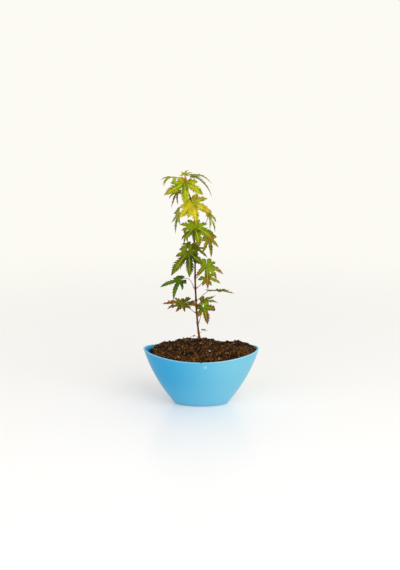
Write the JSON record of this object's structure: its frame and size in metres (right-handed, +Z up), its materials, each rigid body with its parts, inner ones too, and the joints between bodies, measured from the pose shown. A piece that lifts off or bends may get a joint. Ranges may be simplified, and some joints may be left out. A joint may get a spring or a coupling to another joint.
{
  "type": "potted japanese maple",
  "caption": "Young Japanese maple with one thin upright stem and palm-shaped leaves in opposite pairs, in an oval pale blue planter heaped with compost.",
  "frame": {"origin": "middle of the planter's flat underside", "axes": "+Z up along the stem, +X along the planter's long side, -Y to the front, where most leaves face"},
  "size_m": [0.2, 0.11, 0.4032],
  "materials": {
    "planter": "satin",
    "compost": "matte",
    "bark": "matte",
    "young_leaf": "satin",
    "leaf_yellow": "satin",
    "leaf_green": "satin",
    "leaf_dark": "satin",
    "leaf_red": "satin"
  },
  "bodies": {
    "root": {"planter": "planter", "compost": "compost", "stem": "bark", "young_leaves": "young_leaf", "leaf_1_right": "leaf_green", "leaf_1_left": "leaf_green", "leaf_1_back": "leaf_green", "leaf_2_front": "leaf_yellow", "leaf_2_left": "leaf_red", "leaf_3_front": "leaf_yellow", "leaf_3_back": "leaf_green", "leaf_4_left": "leaf_dark", "leaf_4_right": "leaf_green", "leaf_5_front": "leaf_green", "leaf_5_back": "leaf_dark", "leaf_6_left": "leaf_red", "leaf_6_right": "leaf_green", "leaf_7_front": "leaf_dark", "leaf_7_left": "leaf_dark", "leaf_7_back": "leaf_dark", "leaf_8_right": "leaf_green", "leaf_9_right": "leaf_dark", "leaf_9_left": "leaf_dark", "leaf_10_right": "leaf_red", "leaf_10_low": "leaf_green", "leaf_11_left": "leaf_red", "leaf_11_right": "leaf_green", "leaf_12_right": "leaf_green", "leaf_12_left": "leaf_green"}
  },
  "joints": []
}
